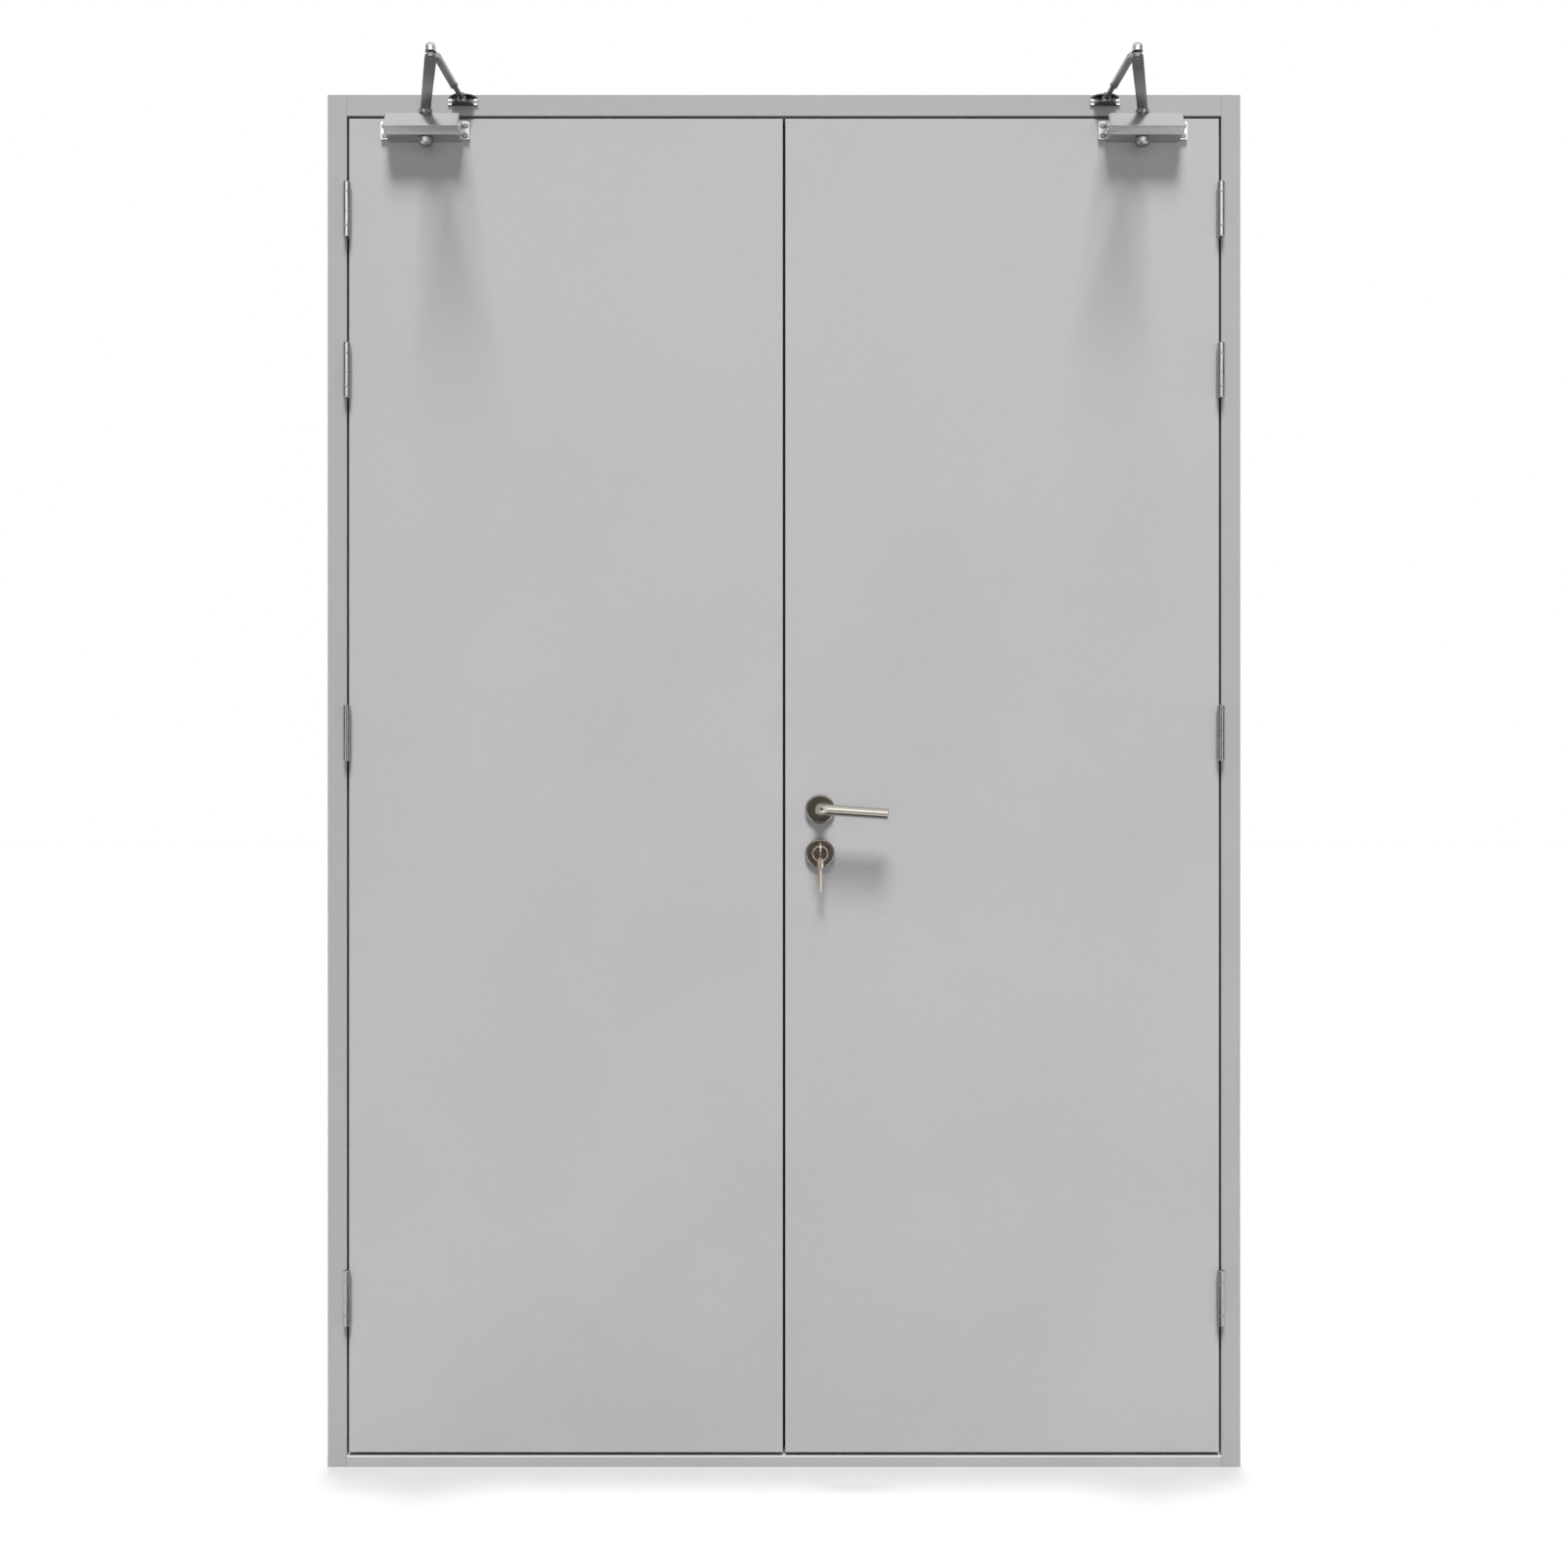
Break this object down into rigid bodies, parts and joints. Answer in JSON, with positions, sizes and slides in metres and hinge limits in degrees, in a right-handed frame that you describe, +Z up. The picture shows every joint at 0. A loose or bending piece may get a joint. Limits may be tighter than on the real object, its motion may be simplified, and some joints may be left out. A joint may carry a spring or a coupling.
{
  "type": "steel utility door",
  "caption": "Flush double-leaf steel door in a pressed steel frame with threshold, lift-off hinges, overhead closers, lever handle and key lock.",
  "frame": {"origin": "middle of the threshold's underside, halfway through the frame's depth", "axes": "+X to the right seen from the hinge side, +Y from the hinge side through the wall, +Z up"},
  "size_m": [1.49, 0.3417, 2.24],
  "materials": {
    "frame_paint": "light grey satin powder coat",
    "sill_steel": "light grey satin powder coat, a little scuffed",
    "seal_rubber": "matt black",
    "hinge_steel": "light grey satin powder coat",
    "leaf_paint": "light grey satin powder coat",
    "core_board": "mineral filling board",
    "closer_paint": "silver lacquer",
    "closer_steel": "silver lacquered steel",
    "lever_steel": "satin stainless steel",
    "lock_steel": "satin zinc-plated steel",
    "cylinder_brass": "nickel-plated brass",
    "key_steel": "nickel-plated brass"
  },
  "bodies": {
    "frame": {"left_jamb": "frame_paint", "right_jamb": "frame_paint", "frame_head": "frame_paint", "threshold": "sill_steel", "frame_seal": "seal_rubber", "left_frame_hinges": "hinge_steel", "right_frame_hinges": "hinge_steel", "left_closer_shoe": "closer_steel", "right_closer_shoe": "closer_steel"},
    "left_leaf": {"left_leaf_front_skin": "leaf_paint", "left_leaf_back_skin": "leaf_paint", "left_leaf_core": "core_board", "left_leaf_hinges": "hinge_steel", "left_closer_housing": "closer_paint", "meeting_seal": "seal_rubber", "lock_strike": "lock_steel", "flush_bolt_plates": "lock_steel"},
    "right_leaf": {"right_leaf_front_skin": "leaf_paint", "right_leaf_back_skin": "leaf_paint", "right_leaf_core": "core_board", "right_leaf_hinges": "hinge_steel", "right_closer_housing": "closer_paint", "lock_faceplate": "lock_steel", "front_lever_rosette": "lever_steel", "back_lever_rosette": "lever_steel", "front_key_rosette": "lever_steel", "back_key_rosette": "lever_steel", "lock_cylinder": "cylinder_brass"},
    "lever": {"front_lever": "lever_steel", "back_lever": "lever_steel", "lever_spindle": "lever_steel"},
    "key": {"cylinder_plug": "cylinder_brass", "inserted_key": "key_steel"},
    "key_ring": {"key_ring": "key_steel", "hanging_key": "key_steel"},
    "left_arm": {"left_closer_pinion": "closer_steel", "left_main_arm": "closer_steel"},
    "right_arm": {"right_closer_pinion": "closer_steel", "right_main_arm": "closer_steel"},
    "left_forearm": {"left_forearm": "closer_steel", "left_elbow_cap": "closer_steel", "left_adjusting_rod": "closer_steel"},
    "right_forearm": {"right_forearm": "closer_steel", "right_elbow_cap": "closer_steel", "right_adjusting_rod": "closer_steel"}
  },
  "joints": [
    {"name": "left_leaf_swing", "type": "hinge", "parent": "frame", "child": "left_leaf", "pos_m": [-0.712, -0.058, 1.1], "axis": [0, 0, -1], "range_deg": [0, 110], "stiffness_Nm_per_rad": 6},
    {"name": "left_main_arm_turn", "type": "hinge", "parent": "left_leaf", "child": "left_arm", "pos_m": [-0.5808, -0.072, 2.2], "axis": [0, 0, -1], "range_deg": [-165, 5]},
    {"name": "left_forearm_turn", "type": "hinge", "parent": "frame", "child": "left_forearm", "pos_m": [-0.524, -0.062, 2.228], "axis": [0, 0, -1], "range_deg": [-5, 20]},
    {"name": "right_leaf_swing", "type": "hinge", "parent": "frame", "child": "right_leaf", "pos_m": [0.712, -0.058, 1.1], "axis": [0, 0, 1], "range_deg": [0, 110], "stiffness_Nm_per_rad": 6},
    {"name": "right_main_arm_turn", "type": "hinge", "parent": "right_leaf", "child": "right_arm", "pos_m": [0.5808, -0.072, 2.2], "axis": [0, 0, 1], "range_deg": [-165, 5]},
    {"name": "right_forearm_turn", "type": "hinge", "parent": "frame", "child": "right_forearm", "pos_m": [0.524, -0.062, 2.228], "axis": [0, 0, 1], "range_deg": [-5, 20]},
    {"name": "lever_turn", "type": "hinge", "parent": "right_leaf", "child": "lever", "pos_m": [0.05875, -0.025, 1.074], "axis": [0, 1, 0], "range_deg": [0, 45], "stiffness_Nm_per_rad": 1.2},
    {"name": "key_turn", "type": "hinge", "parent": "right_leaf", "child": "key", "pos_m": [0.05875, -0.06, 1.01], "axis": [0, 1, 0], "continuous": true},
    {"name": "key_ring_swing", "type": "hinge", "parent": "right_leaf", "child": "key_ring", "pos_m": [0.05875, -0.0728, 1.01], "axis": [0, 1, 0], "range_deg": [-150, 150]}
  ],
  "couplings": [
    {"joint": "left_main_arm_turn", "follows": "left_leaf_swing", "ratio": -1.4679},
    {"joint": "left_forearm_turn", "follows": "left_leaf_swing", "ratio": 0.12813},
    {"joint": "right_main_arm_turn", "follows": "right_leaf_swing", "ratio": -1.4679},
    {"joint": "right_forearm_turn", "follows": "right_leaf_swing", "ratio": 0.12813}
  ]
}
